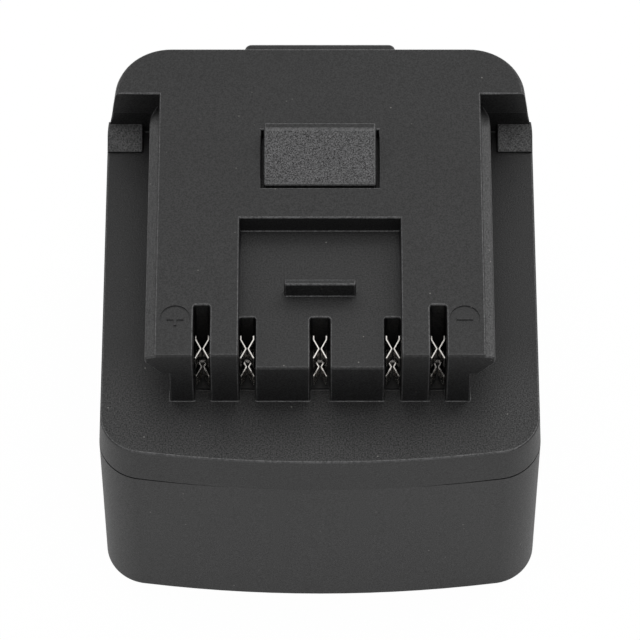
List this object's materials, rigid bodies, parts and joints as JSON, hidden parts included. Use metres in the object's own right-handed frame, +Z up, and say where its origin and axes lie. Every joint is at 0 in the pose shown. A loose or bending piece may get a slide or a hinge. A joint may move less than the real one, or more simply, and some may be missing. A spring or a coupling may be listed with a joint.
{
  "type": "tool battery adapter",
  "caption": "Matte black adapter with a T-shaped slide platform, contact slots and a sprung wedge latch for a tool on top, and a railed bay for a donor battery below.",
  "frame": {"origin": "middle of the bounding box's underside, on the surface that the adapter stands on", "axes": "+Z up through the slide platform, -Y towards the front where the tool's blades enter the slots, +X to the minus side"},
  "size_m": [0.0772, 0.0818, 0.0643],
  "materials": {
    "shell_plastic": "fine moulded grain, matte",
    "housing_plastic": "fine moulded grain, matte",
    "latch_plastic": "coarse spark-eroded grain, matte",
    "inner_plastic": "plain moulded",
    "clip_metal": "tinned spring sheet",
    "spring_steel": "drawn wire",
    "blade_brass": "plain sheet",
    "board_laminate": "solder mask",
    "component_plastic": "moulded packages",
    "capacitor_can": "drawn can",
    "wire_red": "insulation",
    "wire_black": "insulation",
    "wire_yellow": "insulation",
    "screw_steel": "zinc plated"
  },
  "bodies": {
    "housing": {"upper_shell": "shell_plastic", "lower_housing": "housing_plastic", "latch_retainer": "inner_plastic", "contact_carrier": "inner_plastic", "battery_terminal_block": "inner_plastic", "contact_positive": "clip_metal", "contact_signal_left": "clip_metal", "contact_centre": "clip_metal", "contact_signal_right": "clip_metal", "contact_negative": "clip_metal", "latch_spring_left": "spring_steel", "latch_spring_right": "spring_steel", "battery_blade_positive": "blade_brass", "battery_blade_negative": "blade_brass", "battery_signal_blades": "blade_brass", "circuit_board": "board_laminate", "power_transistors": "component_plastic", "signal_header": "component_plastic", "smoothing_capacitor": "capacitor_can", "wire_positive": "wire_red", "wire_negative": "wire_black", "wire_signal_left": "wire_yellow", "wire_signal_centre": "wire_yellow", "wire_signal_right": "wire_yellow", "case_screws": "screw_steel", "carrier_screws": "screw_steel", "retainer_screws": "screw_steel", "board_screws": "screw_steel"},
    "latch": {"release_latch": "latch_plastic"}
  },
  "joints": [
    {"name": "latch_press", "type": "slide", "parent": "housing", "child": "latch", "axis": [0, 0, -1], "range_m": [0, 0.0035], "stiffness_N_per_m": 1500, "springref_m": -0.003, "deforming": ["latch_spring_left", "latch_spring_right"]}
  ]
}
